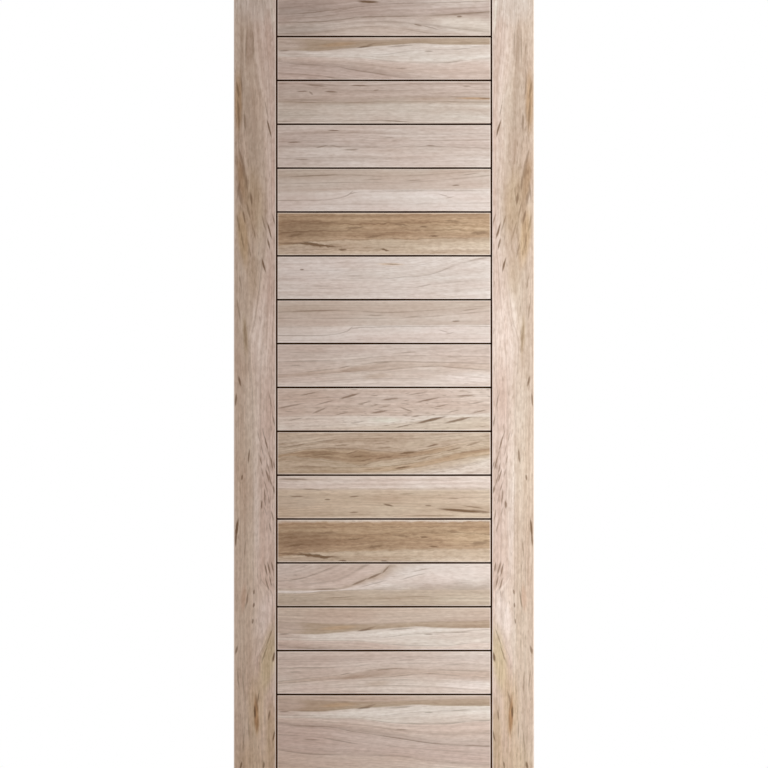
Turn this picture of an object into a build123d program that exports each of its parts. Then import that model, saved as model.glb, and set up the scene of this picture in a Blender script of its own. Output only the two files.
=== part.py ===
# A solid maple door leaf: two tall stiles, a top and a bottom rail, and fifteen level planks between
# them. Every board is ploughed along its inner edges. Loose dark splines lie in the grooves between
# one board and the next and hold the boards a reveal apart, so that a dark line shows on both faces.
# The planks' ends have stub tenons that run in the stiles' plough, and the rails' ends have long
# tenons too. A shallow kerf runs down both faces along each stile.
#
# X runs from the hinge edge to the lock edge, Y from the front face to the back face, and Z up.
# The origin is at the foot of the hinge edge, in the middle of the door's thickness.
import os

from build123d import *

# Driving dimensions, in millimetres
door_width = 914.4  # 36 in
door_height = 2438.4  # 96 in
door_thickness = 44.45  # 1 3/4 in
stile_width = 128.0
top_rail_height = 128.0
bottom_rail_height = 301.9
plank_count = 15
reveal = 4.5  # dark line between two boards
kerf_width = 4.5  # dark line along each stile
kerf_depth = 8.0
groove_width = 14.0  # thickness of the tenons and the splines too
groove_depth = 12.0
fit_clearance = 0.1  # on each cheek of a spline, a tongue or a tenon
tenon_length = 90.0  # of a rail's tenon, measured from its shoulder
tenon_relief = 2.0  # left empty past the tenon's end
haunch = 34.0  # from a rail's outer edge to its nearest tenon
tenon_margin = 4.0  # from a rail's spline groove to its nearest tenon
tenon_gap = 62.0  # between the bottom rail's two tenons
arris = 1.2  # width of the eased edge round each face

# Sizes worked out from those
opening_left = stile_width
opening_right = door_width - stile_width
planks_height = door_height - top_rail_height - bottom_rail_height
plank_height = (planks_height - (plank_count + 1) * reveal) / plank_count
tongue_thickness = groove_width - 2 * fit_clearance
spline_height = reveal + 2 * groove_depth


def block(x_range, y_range, z_range):
    """A solid between two values along each axis."""
    low = Vector(x_range[0], y_range[0], z_range[0])
    high = Vector(x_range[1], y_range[1], z_range[1])
    size = high - low
    return Pos(*((low + high) / 2)) * Box(size.X, size.Y, size.Z)


def centred(thickness):
    """The range along Y of something in the middle of the door's thickness."""
    return (-thickness / 2, thickness / 2)


def face_edges(board):
    """The edges round a board's front face and its back face."""
    faces = board.faces().filter_by(Axis.Y).sort_by(Axis.Y)
    return faces[0].edges() + faces[-1].edges()


def tenon_ranges(rail_low, rail_high, groove_side):
    """The heights of a rail's tenons, clear of its spline groove and of its outer edge."""
    if groove_side == "low":
        low = rail_low + groove_depth + tenon_margin
        return [(low, rail_high - haunch)]
    low = rail_low + haunch
    high = rail_high - groove_depth - tenon_margin
    middle = (low + high) / 2
    return [(low, middle - tenon_gap / 2), (middle + tenon_gap / 2, high)]


def board_between_stiles(low, high, grooved_low, grooved_high):
    """A board that fills the opening from low to high, with a stub tenon and a rebate at each end."""
    board = block((opening_left, opening_right), centred(door_thickness), (low, high))
    ends = (opening_left - groove_depth, opening_right + groove_depth)
    board += block(ends, centred(tongue_thickness), (low, high))
    for grooved, edge, inward in ((grooved_low, low, 1), (grooved_high, high, -1)):
        if grooved:
            depth = sorted((edge, edge + inward * groove_depth))
            board -= block(ends, centred(groove_width), depth)
    face = door_thickness / 2
    for shoulder, inward in ((opening_left, 1), (opening_right, -1)):
        rebate = sorted((shoulder, shoulder + inward * kerf_width))
        for outer, inner in ((-face, kerf_depth - face), (face, face - kerf_depth)):
            board -= block(rebate, sorted((outer, inner)), (low, high))
    return board


def make_stile(outer_edge, inner_edge):
    """A stile with a plough down its inner edge and mortises below the plough for the rails."""
    inward = 1 if inner_edge > outer_edge else -1
    width = sorted((outer_edge, inner_edge))
    stile = block(width, centred(door_thickness), (0, door_height))
    plough = sorted((inner_edge, inner_edge - inward * groove_depth))
    stile -= block(plough, centred(groove_width), (0, door_height))
    mortise_depth = tenon_length + tenon_relief
    mortise = sorted((inner_edge, inner_edge - inward * mortise_depth))
    for heights in bottom_tenons + top_tenons:
        stile -= block(mortise, centred(groove_width), heights)
    return chamfer(face_edges(stile).filter_by(Axis.Z), arris)


def make_rail(low, high, groove_side, tenons):
    """A rail: a board between the stiles whose ends also have long tenons."""
    rail = board_between_stiles(low, high, groove_side == "low", groove_side == "high")
    tenon_ends = (opening_left - tenon_length, opening_right + tenon_length)
    for heights in tenons:
        rail += block(tenon_ends, centred(tongue_thickness), heights)
    outer_edge = high if groove_side == "low" else low
    eased = [edge for edge in face_edges(rail) if abs(edge.center().Z - outer_edge) > arris]
    return chamfer(eased, arris)


def make_plank(low):
    """A plank, grooved along both long edges and eased all round both faces."""
    plank = board_between_stiles(low, low + plank_height, True, True)
    return chamfer(face_edges(plank), arris)


def make_spline(reveal_low):
    """The strip between two boards, as long as the opening and both ploughs."""
    ends = (opening_left - groove_depth, opening_right + groove_depth)
    low = reveal_low - groove_depth
    return block(ends, centred(tongue_thickness), (low, low + spline_height))


bottom_rail_top = bottom_rail_height
top_rail_bottom = door_height - top_rail_height
bottom_tenons = tenon_ranges(0, bottom_rail_top, "high")
top_tenons = tenon_ranges(top_rail_bottom, door_height, "low")

parts = {
    "hinge_stile": make_stile(0, opening_left),
    "lock_stile": make_stile(door_width, opening_right),
    "bottom_rail": make_rail(0, bottom_rail_top, "high", bottom_tenons),
    "top_rail": make_rail(top_rail_bottom, door_height, "low", top_tenons),
}
course = plank_height + reveal
for number in range(1, plank_count + 1):
    # Plank 1 lies under the top rail, and the last one on the bottom rail.
    low = top_rail_bottom - number * course
    parts[f"plank_{number:02d}"] = make_plank(low)
for number in range(1, plank_count + 2):
    # Spline 1 lies between the top rail and plank 1.
    reveal_low = top_rail_bottom - reveal - (number - 1) * course
    parts[f"spline_{number:02d}"] = make_spline(reveal_low)

os.makedirs("parts", exist_ok=True)
for name, solid in parts.items():
    export_step(solid, f"parts/{name}.step")
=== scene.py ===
import math

import bmesh
import bpy
import numpy as np
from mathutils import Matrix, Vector


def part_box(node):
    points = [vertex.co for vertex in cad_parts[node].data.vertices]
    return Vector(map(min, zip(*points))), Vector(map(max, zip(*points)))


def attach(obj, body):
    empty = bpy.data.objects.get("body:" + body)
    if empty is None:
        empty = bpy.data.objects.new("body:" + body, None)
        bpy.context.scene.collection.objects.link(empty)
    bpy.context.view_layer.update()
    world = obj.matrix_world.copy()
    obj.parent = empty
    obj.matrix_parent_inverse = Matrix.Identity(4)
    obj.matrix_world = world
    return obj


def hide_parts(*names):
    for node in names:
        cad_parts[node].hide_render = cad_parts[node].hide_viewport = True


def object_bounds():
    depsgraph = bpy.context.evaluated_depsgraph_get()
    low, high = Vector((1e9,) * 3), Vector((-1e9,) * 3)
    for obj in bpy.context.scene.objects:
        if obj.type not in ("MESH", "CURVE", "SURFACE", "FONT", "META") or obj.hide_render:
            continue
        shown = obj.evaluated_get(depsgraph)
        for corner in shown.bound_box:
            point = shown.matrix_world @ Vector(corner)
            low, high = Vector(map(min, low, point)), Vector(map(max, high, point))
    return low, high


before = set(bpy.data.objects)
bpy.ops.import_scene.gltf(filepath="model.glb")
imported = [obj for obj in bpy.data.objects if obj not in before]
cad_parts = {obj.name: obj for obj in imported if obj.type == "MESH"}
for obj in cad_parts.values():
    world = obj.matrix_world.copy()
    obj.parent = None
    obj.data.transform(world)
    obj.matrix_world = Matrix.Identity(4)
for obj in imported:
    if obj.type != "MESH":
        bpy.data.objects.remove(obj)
cadLow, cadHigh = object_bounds()
print("frame loaded:", len(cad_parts), "CAD nodes")

# What the joiner set out, in metres
joinery = {
    "arrisRadius": 0.0012,  # the eased edge round each face
    "arrisWander": 0.3,  # share by which hand sanding makes that radius wander
    "arrisWaves": ((0.6, 9.0, 1.0), (0.4, 23.0, 2.3)),  # share, radians to a metre, part of the phase
    "levelPhase": (0.0, 0.7),  # of the first board, and from one board to the next
    "stilePhase": (0.4, 2.5),
    "kerfWidth": 0.0045,
    "kerfDepth": 0.008,
    "grooveWidth": 0.014,
    "grooveDepth": 0.012,
    "fitClearance": 0.0001,
    "tenonLength": 0.090,
    "tenonRelief": 0.002,
    "haunch": 0.034,
    "tenonMargin": 0.004,
    "tenonGap": 0.062,
    "tenonArris": 0.0005,
    "stationStep": 0.03,  # between two cross-sections
    "arcSteps": 6,  # faces round an arris
    "supportStep": 0.0004,  # a row of points on the flat, so that its shading stays flat
    "mergeDistance": 1e-6,
    "shortestEdge": 1e-7,
    "sharpAngle": 30,  # in degrees: the arrises are smooth, and every other edge is sharp
}
plankCount = 15
thickness = cadHigh.y - cadLow.y
halfThickness = thickness / 2
faceDepth = cadLow.y
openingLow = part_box("hinge_stile")[1].x
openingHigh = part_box("lock_stile")[0].x
tongueHalf = joinery["grooveWidth"] / 2 - joinery["fitClearance"]


# One function adds a node: feeds maps an input to a socket, a node or a value, and marks puts the points
# on a ramp or a curve.
def addNode(tree, kind, feeds=None, marks=None, **settings):
    node = tree.nodes.new("ShaderNode" + kind)
    for key, value in settings.items():
        setattr(node, key, value)
    for key, value in (feeds or {}).items():
        if isinstance(value, bpy.types.Node):
            value = next(socket for socket in value.outputs if socket.enabled)
        if isinstance(value, bpy.types.NodeSocket):
            tree.links.new(value, node.inputs[key])
        else:
            node.inputs[key].default_value = value
    if marks and kind == "ValToRGB":
        stops = node.color_ramp.elements
        for k in range(len(marks) - len(stops)):
            stops.new(0.5)
        for stop, (at, colour) in zip(stops, marks):
            stop.position, stop.color = at, colour
    elif marks:
        node.mapping.use_clip = False
        points = node.mapping.curves[0].points
        points[0].location, points[1].location = marks[0], marks[-1]
        for at, value in marks[1:-1]:
            points.new(at, value)
        for point in points:
            point.handle_type = "AUTO_CLAMPED"
        node.mapping.update()
    return node


# sRGB hex to linear: a straight piece near black, and a power of 2.4 above it.
def linearColour(hexCode):
    srgb = np.array([int(hexCode[k : k + 2], 16) for k in (1, 3, 5)]) / 255
    linear = np.where(srgb <= 0.04045, srgb / 12.92, ((srgb + 0.055) / 1.055) ** 2.4)
    return (*linear, 1.0)


# The radius of the eased edge along a board: its mean, plus two slow waves whose phase differs from
# board to board.
def wanderingRadius(along, phase):
    waves = joinery["arrisWaves"]
    wave = sum(share * np.sin(along * pace + part * phase) for share, pace, part in waves)
    return joinery["arrisRadius"] * (1 + joinery["arrisWander"] * wave)


# One eased corner as seen along the board. For an angle a from the face to the edge, the depth is
# side (halfThickness - r + r cos a) and the height is edge - outward (r - r sin a).
def easedCorner(side, edge, outward, radius, fromFace):
    angles = np.linspace(0, np.pi / 2, joinery["arcSteps"] + 1)
    step = joinery["supportStep"]
    r = radius[:, None]
    depth = side * (halfThickness - r + r * np.cos(angles))
    height = edge - outward * (r - r * np.sin(angles))
    depth = np.hstack([depth[:, :1], depth, depth[:, -1:] - side * step])
    height = np.hstack([height[:, :1] - outward * step, height, height[:, -1:]])
    if not fromFace:
        depth, height = depth[:, ::-1], height[:, ::-1]
    return np.stack([depth, height], axis=-1)


# The four corners of a groove in an edge, which may be deeper at some stations.
def groovePoints(edge, outward, deep, towardBack):
    half = joinery["grooveWidth"] / 2
    side = np.array([-half, -half, half, half]) * (1 if towardBack else -1)
    inward = np.outer(deep, [0, 1, 1, 0])
    return np.stack([np.broadcast_to(side, inward.shape), edge - outward * inward], axis=-1)


# A board is a grid: its outline (depth, height) carried along the stations, and clipped at each of
# them to the room that the board has there, which leaves its kerfs, tongues and tenons.
def boardGrid(along, low, high, radius, lowGroove, highGroove, room):
    rings = [easedCorner(-1, high, 1, radius, True)]
    if highGroove is not None:
        rings.append(groovePoints(high, 1, highGroove, True))
    rings.append(easedCorner(1, high, 1, radius, False))
    rings.append(easedCorner(1, low, -1, radius, True))
    if lowGroove is not None:
        rings.append(groovePoints(low, -1, lowGroove, False))
    rings.append(easedCorner(-1, low, -1, radius, False))
    outline = np.concatenate(rings, axis=1)
    depth = np.clip(outline[..., 0], -room["depth"][:, None], room["depth"][:, None])
    height = np.clip(outline[..., 1], room["low"][:, None], room["high"][:, None])
    return np.stack([np.broadcast_to(along[:, None], depth.shape), depth, height], axis=-1)


# The faces of a closed tube of rings, with a flat cap on each end.
def tubeFaces(stations, points, firstVertex):
    ring = np.arange(points)
    start = (np.arange(stations - 1) * points)[:, None]
    quads = np.stack([start + ring, start + np.roll(ring, -1)], axis=-1)
    quads = np.concatenate([quads, quads[..., ::-1] + points], axis=-1).reshape(-1, 4) + firstVertex
    caps = [(ring[::-1] + firstVertex).tolist(), (ring + (stations - 1) * points + firstVertex).tolist()]
    return quads.tolist() + caps


# Makes one mesh from the grids and finishes it: doubles merged, faces outward, arrises smooth.
def makePiece(name, grids, nodeName):
    vertices, faces = [], []
    count = 0
    for grid in grids:
        faces += tubeFaces(grid.shape[0], grid.shape[1], count)
        vertices.append(grid.reshape(-1, 3))
        count += grid.shape[0] * grid.shape[1]
    mesh = bpy.data.meshes.new(name)
    mesh.from_pydata(np.concatenate(vertices).tolist(), [], faces)
    shell = bmesh.new()
    shell.from_mesh(mesh)
    bmesh.ops.remove_doubles(shell, verts=shell.verts, dist=joinery["mergeDistance"])
    bmesh.ops.dissolve_degenerate(shell, edges=shell.edges, dist=joinery["shortestEdge"])
    bmesh.ops.recalc_face_normals(shell, faces=shell.faces)
    shell.to_mesh(mesh)
    shell.free()
    mesh.shade_smooth()
    mesh.set_sharp_from_angle(angle=math.radians(joinery["sharpAngle"]))
    piece = bpy.data.objects.new(name, mesh)
    bpy.context.scene.collection.objects.link(piece)
    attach(piece, "root")
    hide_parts(nodeName)
    return piece


# The stations of one end, from the shoulder to the face's full thickness: the face curves over by the
# arris radius, t - r + sqrt(r^2 - (r - d)^2) at d from the end of the face.
def endStations(shoulder, inward, radius):
    rise = joinery["arrisRadius"] * (1 - np.cos(np.linspace(0, np.pi / 2, joinery["arcSteps"] + 1)))
    faceEnd = shoulder + inward * joinery["kerfWidth"]
    curved = halfThickness - radius + np.sqrt(np.maximum(radius**2 - (radius - rise) ** 2, 0))
    rebateHalf = halfThickness - joinery["kerfDepth"]
    tongueEnd = shoulder - inward * joinery["grooveDepth"]
    along = [tongueEnd, shoulder, shoulder, faceEnd, *(faceEnd + inward * rise)]
    depth = [tongueHalf, tongueHalf, rebateHalf, rebateHalf, *curved]
    last = along[-1] + inward * joinery["supportStep"]
    return np.array([*along, last]), np.array([*depth, halfThickness])


# A plank or a rail: the tongue, the kerf's rebate and the face, from one stile to the other, and a
# block for each tenon.
def levelBoard(name, nodeName, slotName, lowGrooved, highGrooved, tenons, phase):
    low, high = (corner.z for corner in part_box(nodeName))
    leftAlong, leftDepth = endStations(openingLow, 1, joinery["arrisRadius"])
    rightAlong, rightDepth = endStations(openingHigh, -1, joinery["arrisRadius"])
    middle = np.arange(leftAlong[-1], rightAlong[-1], joinery["stationStep"])[1:]
    along = np.concatenate([leftAlong, middle, rightAlong[::-1]])
    depth = np.concatenate([leftDepth, np.full(len(middle), halfThickness), rightDepth[::-1]])
    grooveDepth = joinery["grooveDepth"]
    atTongue = depth <= tongueHalf
    room = {
        "depth": depth,
        "low": np.where(atTongue & lowGrooved, low + grooveDepth, low),
        "high": np.where(atTongue & highGrooved, high - grooveDepth, high),
    }
    full = np.full(len(along), grooveDepth)
    radius = wanderingRadius(along, phase)
    lowGroove = full if lowGrooved else None
    highGroove = full if highGrooved else None
    grids = [boardGrid(along, low, high, radius, lowGroove, highGroove, room)]
    for tenonLow, tenonHigh in tenons:
        for shoulder, outward in ((openingLow, -1), (openingHigh, 1)):
            ends = shoulder + outward * np.array([grooveDepth, joinery["tenonLength"]])
            block = {"depth": tongueHalf, "low": tenonLow, "high": tenonHigh}
            block = {key: np.full(2, value) for key, value in block.items()}
            arris = np.full(2, joinery["tenonArris"])
            grids.append(boardGrid(ends, tenonLow, tenonHigh, arris, None, None, block))
    return makePiece(name, grids, nodeName)


# A stile stands on end: its stations run up the door, and its plough is as deep as a mortise where a
# tenon goes in.
def standingBoard(name, nodeName, mortises, phase):
    (left, _, foot), (right, _, top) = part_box(nodeName)
    width = right - left
    mortiseDepth = joinery["tenonLength"] + joinery["tenonRelief"]
    grooveDepth = joinery["grooveDepth"]
    middle = np.arange(foot, top, joinery["stationStep"])
    deep = np.full(len(middle) + 1, grooveDepth)
    along = np.append(middle, top)
    for low, high in mortises:
        keep = (along < low) | (along > high)
        along, deep = along[keep], deep[keep]
        at = np.searchsorted(along, low)
        along = np.insert(along, at, [low, low, high, high])
        deep = np.insert(deep, at, [grooveDepth, mortiseDepth, mortiseDepth, grooveDepth])
    room = {"depth": halfThickness, "low": 0.0, "high": width}
    room = {key: np.full(len(along), value) for key, value in room.items()}
    grid = boardGrid(along, 0, width, wanderingRadius(along, phase), None, deep, room)
    across = left + grid[..., 2] if nodeName == "hinge_stile" else right - grid[..., 2]
    grid = np.stack([across, grid[..., 1], grid[..., 0]], axis=-1)
    return makePiece(name, [grid], nodeName)


# The heights of a rail's tenons, clear of its spline groove and of its outer edge.
def tenonHeights(nodeName, grooveSide):
    low, high = (corner.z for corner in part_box(nodeName))
    clear = joinery["grooveDepth"] + joinery["tenonMargin"]
    if grooveSide == "low":
        return [(low + clear, high - joinery["haunch"])]
    low, high = low + joinery["haunch"], high - clear
    middle = (low + high) / 2
    half = joinery["tenonGap"] / 2
    return [(low, middle - half), (middle + half, high)]


# Raw maple, planed and sanded with a fine grit: a matt, pale wood with soft pinkish sapwood, tan to olive
# heartwood, thin brown growth lines and short mineral flecks. Lengths are in millimetres.
sandedMaple = {
    "ior": 1.5,
    "gloss": 0.12,  # raw wood has no film on it, so it reflects less than its IOR says
    "roughness": (0.56, 0.70),
    "bumpDepth": 0.00012,  # in metres: what a fine grit leaves
    "bumpStrength": 0.35,
    # Each pattern: its length along the grain, its size through the thickness and across, its detail
    "patterns": {
        "sway": (520, 160, 110, 1.0),
        "ripple": (52, 30, 17, 2.0),
        "curl": (19, 14, 8, 2.0),
        "blotch": (230, 60, 48, 2.0),
        "swell": (90, 40, 30, 1.0),
        "fibre": (26, 3.5, 3.2, 3.0),  # real fibres are 0.1 mm wide, and would not show
        "fleck": (30, 5.0, 4.0, 1.5),
        "mottle": (17, 11, 8, 2.0),
        "pore": (0.9, 0.9, 0.9, 2.0),  # on the end grain
    },
    "growth": (420, 70, 6.5, 3.0),  # the same for the growth lines, really 2 to 4 mm apart
    "sway": 6.0,
    "ripple": 2.5,
    "curl": 1.8,
    "lean": 0.55,  # how far the layers lean on their way through the thickness
    "bow": 0.004,
    "seedShift": (3.7, 5.1, 1.9),  # moves the patterns from board to board
    "patternShift": (11.3, 7.9, 4.7),  # and from one another
    "growthShift": (1.0, 0.0, 2.3),
    # Soft ellipses: how deep they go, and the share of the way to their middle where they are full
    "patchDepth": 70.0,
    "patchFade": 0.7,
    "zoneFade": 0.4,
    "markFade": 0.6,
    "markAxes": (0.6, 5.0, 0.75),  # its half axes: a share of its length, its depth, a share of its width
    # Between which values of its noise each tint comes in
    "tintRanges": {
        "blotch": (0.35, 0.65),
        "growth": (0.36, 0.66),
        "fibre": (0.35, 0.65),
        "mottle": (0.42, 0.66),
    },
    "growthShare": 0.34,
    "fibreShare": 0.30,
    "mottleShare": 0.14,
    "blotchShare": 0.4,
    "fleckShare": 0.5,
    "fleckFrom": 0.66,
    "zoneFrom": 0.53,  # in a zone full of flecks
    "fleckRise": 0.1,
    "swellRange": (0.3, 0.6),  # the drawn lines fade out where this noise is low
    "growthColour": "#c4b6aa",
    "fibreColour": "#c9bfb6",
    "mottleColour": "#bdab97",
    "fleckColour": "#70563f",
    "blotchColour": "#efe0da",
    # painted highlight along the boards' edges
    "edgeHighlightColour": "#f3e4d6",
    # painted shade: the brown that darkens the boards' sides in the reveals and kerfs
    "recessShadeColour": "#653a1a",
    "endColour": "#b59b80",
    "meanMask": 0.4,  # how far the tints have come in on average
    "highlightReach": (0.5, 4.0),  # painted highlight: the margin of each board is painted paler, where its eased edge would catch the light
    "highlightShare": 0.62,
    "faceReach": (1.5, 3.0),  # but only this near to its faces
    "shadeReach": 0.45,  # the painted shade in the reveals is full this far below the faces
    "shadeShare": 0.96,
    "shadeFade": 8,  # it keeps this far from a board's outer edge, which is in no reveal, and fades in
    "endFacing": (0.6, 0.8),  # how squarely the surface cuts the grain where end grain starts
    "poreRange": (0.3, 0.7),
    "poreShare": 0.5,
    "finishRange": (0.3, 0.7),
}


# The lift of one board, which makes up for what its tints take away. On average each tint multiplies the
# colour by 1 - meanMask amount (1 - tint), and the lift is one over the product of those.
def boardLift(figure):
    kept = np.ones(3)
    for key in sandedMaple["tintRanges"]:
        amount = sandedMaple[key + "Share"] * figure.get(key, 1.0)
        tint = np.array(linearColour(sandedMaple[key + "Colour"])[:3])
        kept *= 1 - sandedMaple["meanMask"] * amount * (1 - tint)
    return (*(1 / kept), 1.0)


# A soft ellipse on the face of a board, laid at a tilt: nothing at its rim, and rising smoothly to amount
# over the share fade of the way to its middle.
def softEllipse(tree, point, middle, tilt, halfAxes, fade, amount):
    turn = (0, -math.radians(tilt), 0)
    local = {"Vector": point, "Location": middle, "Rotation": turn, "Scale": halfAxes}
    local = addNode(tree, "Mapping", local, vector_type="TEXTURE")
    reach = addNode(tree, "TexGradient", {"Vector": local}, gradient_type="SPHERICAL")
    faded = {"Value": reach.outputs["Fac"], "From Min": 0.0, "From Max": fade, "To Max": amount}
    return addNode(tree, "MapRange", faded, interpolation_type="SMOOTHSTEP")


# The material of one board. A point's place becomes (along, deep, high). Its height is bent by slow noise
# and by the lean of the layers. Between two growth lines of the figure its layer runs evenly from one
# line's number to the next one's, and past the outermost lines it keeps their shape. The layer gives the
# tone and the drawn lines, and soft ellipses give the patches, the zones full of flecks and the marks.
def mapleMaterial(name, figure, place, seed):
    wood = bpy.data.materials.new(name)
    wood.use_nodes = True
    tree = wood.node_tree
    tree.nodes.clear()
    laid = {"Location": place["start"], "Rotation": place["turn"], "Scale": place["scale"]}
    point = addNode(tree, "TexCoord").outputs["Object"]
    point = addNode(tree, "Mapping", {"Vector": point, **laid})
    along, deep, high = addNode(tree, "SeparateXYZ", {"Vector": point}).outputs

    pattern = {}
    for number, (key, (length, through, across, detail)) in enumerate(sandedMaple["patterns"].items()):
        shifts = zip(sandedMaple["seedShift"], sandedMaple["patternShift"])
        shift = [seed * a + number * b for a, b in shifts]
        scale = (1 / length, 1 / through, 1 / across)
        stretched = addNode(tree, "Mapping", {"Vector": point, "Location": shift, "Scale": scale})
        if key == "fleck":
            slope = math.tan(math.radians(figure.get("fleckTilt", 0)))
            stretched.inputs["Rotation"].default_value = (0, math.atan(slope * length / across), 0)
        pattern[key] = addNode(tree, "TexNoise", {"Vector": stretched, "Scale": 1.0, "Detail": detail})

    # The bent height
    bends = {key: figure.get(key, sandedMaple[key]) for key in ("ripple", "curl", "sway")}
    bent = high
    for key, reach in bends.items():
        bent = addNode(tree, "Math", {0: pattern[key], 1: reach, 2: bent}, operation="MULTIPLY_ADD")
    centring = sum(bends.values()) / 2 - place["shift"]
    bent = addNode(tree, "Math", {0: bent, 1: centring}, operation="SUBTRACT")
    lean = {0: deep, 1: sandedMaple["bow"], 2: sandedMaple["lean"]}
    lean = addNode(tree, "Math", lean, operation="MULTIPLY_ADD")
    layered = addNode(tree, "Math", {0: deep, 1: lean, 2: bent}, operation="MULTIPLY_ADD")

    # The growth layer
    lines = figure["lines"]
    curves = [addNode(tree, "FloatCurve", {"Value": along}, marks=line[3]) for line in lines]
    below = addNode(tree, "Math", {0: layered, 1: curves[0]}, operation="SUBTRACT")
    below = addNode(tree, "Math", {0: below, 1: 0.0}, operation="MINIMUM")
    above = addNode(tree, "Math", {0: layered, 1: curves[-1]}, operation="SUBTRACT")
    above = addNode(tree, "Math", {0: above, 1: 0.0}, operation="MAXIMUM")
    layer = addNode(tree, "Math", {0: below, 1: above}, operation="ADD")
    for k in range(len(lines) - 1):
        rise = lines[k + 1][0] - lines[k][0]
        step = {"Value": layered, "From Min": curves[k], "From Max": curves[k + 1], "To Max": rise}
        step = addNode(tree, "MapRange", step)
        layer = addNode(tree, "Math", {0: layer, 1: step}, operation="ADD")
    layer = addNode(tree, "Math", {0: layer, 1: lines[0][0]}, operation="ADD")

    # Its tone, and the patches
    tones = figure["tones"]
    first, last = tones[0][0], tones[-1][0]
    share = addNode(tree, "MapRange", {"Value": layer, "From Min": first, "From Max": last})
    stops = [((at - first) / (last - first), linearColour(colour)) for at, colour in tones]
    colour = addNode(tree, "ValToRGB", {"Fac": share}, marks=stops)
    bentPoint = addNode(tree, "CombineXYZ", {"X": along, "Y": deep, "Z": bent})
    for x, z, length, width, tilt, hexCode, amount in figure["patches"]:
        halfAxes = (length / 2, sandedMaple["patchDepth"], width / 2)
        mask = softEllipse(tree, bentPoint, (x, 0, z), tilt, halfAxes, sandedMaple["patchFade"], amount)
        colour = addNode(tree, "Mix", {0: mask, 6: colour, 7: linearColour(hexCode)}, data_type="RGBA")

    # Blotches, growth lines, fibres and mottle, each a tint that is multiplied in where its noise is high
    length, through, spacing, detail = sandedMaple["growth"]
    grain = addNode(tree, "CombineXYZ", {"X": along, "Y": deep, "Z": layer})
    shift = [seed * a for a in sandedMaple["growthShift"]]
    scale = (1 / length, 1 / through, 1 / spacing)
    grain = addNode(tree, "Mapping", {"Vector": grain, "Location": shift, "Scale": scale})
    pattern["growth"] = addNode(tree, "TexNoise", {"Vector": grain, "Scale": 1.0, "Detail": detail})
    for key, (low, top) in sandedMaple["tintRanges"].items():
        amount = sandedMaple[key + "Share"] * figure.get(key, 1.0)
        mask = {"Value": pattern[key], "From Min": low, "From Max": top, "To Max": amount}
        mask = addNode(tree, "MapRange", mask)
        tinted = {0: mask, 6: colour, 7: linearColour(sandedMaple[key + "Colour"])}
        colour = addNode(tree, "Mix", tinted, data_type="RGBA", blend_type="MULTIPLY")

    # Drawn growth lines, small flecks and single marks are mixed to brown together
    stops = [(0.0, (0, 0, 0, 0))]
    for number, dark, wide, _ in lines:
        if dark and first < number - wide and number + wide < last:
            for at, value in ((number - wide, 0), (number, dark), (number + wide, 0)):
                stops.append(((at - first) / (last - first), (0, 0, 0, value)))
    stops.append((1.0, (0, 0, 0, 0)))
    drawn = addNode(tree, "ValToRGB", {"Fac": share}, marks=stops)
    low, top = sandedMaple["swellRange"]
    swell = addNode(tree, "MapRange", {"Value": pattern["swell"], "From Min": low, "From Max": top})
    brown = addNode(tree, "Math", {0: drawn.outputs["Alpha"], 1: swell}, operation="MULTIPLY")
    fleckFrom = sandedMaple["fleckFrom"]
    drop = sandedMaple["zoneFrom"] - fleckFrom
    for x, z, length, width, tilt, amount in figure.get("zones", []):
        halfAxes = (length / 2, sandedMaple["patchDepth"], width / 2)
        zone = softEllipse(tree, bentPoint, (x, 0, z), tilt, halfAxes, sandedMaple["zoneFade"], amount)
        fleckFrom = addNode(tree, "Math", {0: zone, 1: drop, 2: fleckFrom}, operation="MULTIPLY_ADD")
    fleckTop = addNode(tree, "Math", {0: fleckFrom, 1: sandedMaple["fleckRise"]}, operation="ADD")
    amount = sandedMaple["fleckShare"] * figure.get("fleck", 1.0)
    fleck = {"Value": pattern["fleck"], "From Min": fleckFrom, "From Max": fleckTop, "To Max": amount}
    fleck = addNode(tree, "MapRange", fleck)
    brown = addNode(tree, "Math", {0: brown, 1: fleck}, operation="MAXIMUM")
    longShare, depth, wideShare = sandedMaple["markAxes"]
    for x, z, length, width, tilt, dark in figure["marks"]:
        halfAxes = (length * longShare, depth, width * wideShare)
        mask = softEllipse(tree, bentPoint, (x, 0, z), tilt, halfAxes, sandedMaple["markFade"], dark)
        brown = addNode(tree, "Math", {0: brown, 1: mask}, operation="MAXIMUM")
    browned = {0: brown, 6: colour, 7: linearColour(sandedMaple["fleckColour"])}
    colour = addNode(tree, "Mix", browned, data_type="RGBA")

    # Whether the surface is end grain, and how far a point is inside the board: from its ends, its faces
    # and its edges
    facing = addNode(tree, "NewGeometry").outputs["True Normal"]
    facing = addNode(tree, "VectorMath", {0: facing, 1: place["grain"]}, operation="DOT_PRODUCT")
    facing = addNode(tree, "Math", {0: facing}, operation="ABSOLUTE")
    low, top = sandedMaple["endFacing"]
    atEnd = addNode(tree, "MapRange", {"Value": facing, "From Min": low, "From Max": top})
    middle = addNode(tree, "VectorMath", {0: point, 1: place["middle"]}, operation="SUBTRACT")
    middle = addNode(tree, "VectorMath", {0: middle}, operation="ABSOLUTE")
    inside = addNode(tree, "VectorMath", {0: place["half"], 1: middle}, operation="SUBTRACT")
    endGap, faceGap, edgeGap = addNode(tree, "SeparateXYZ", {"Vector": inside}).outputs

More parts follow.
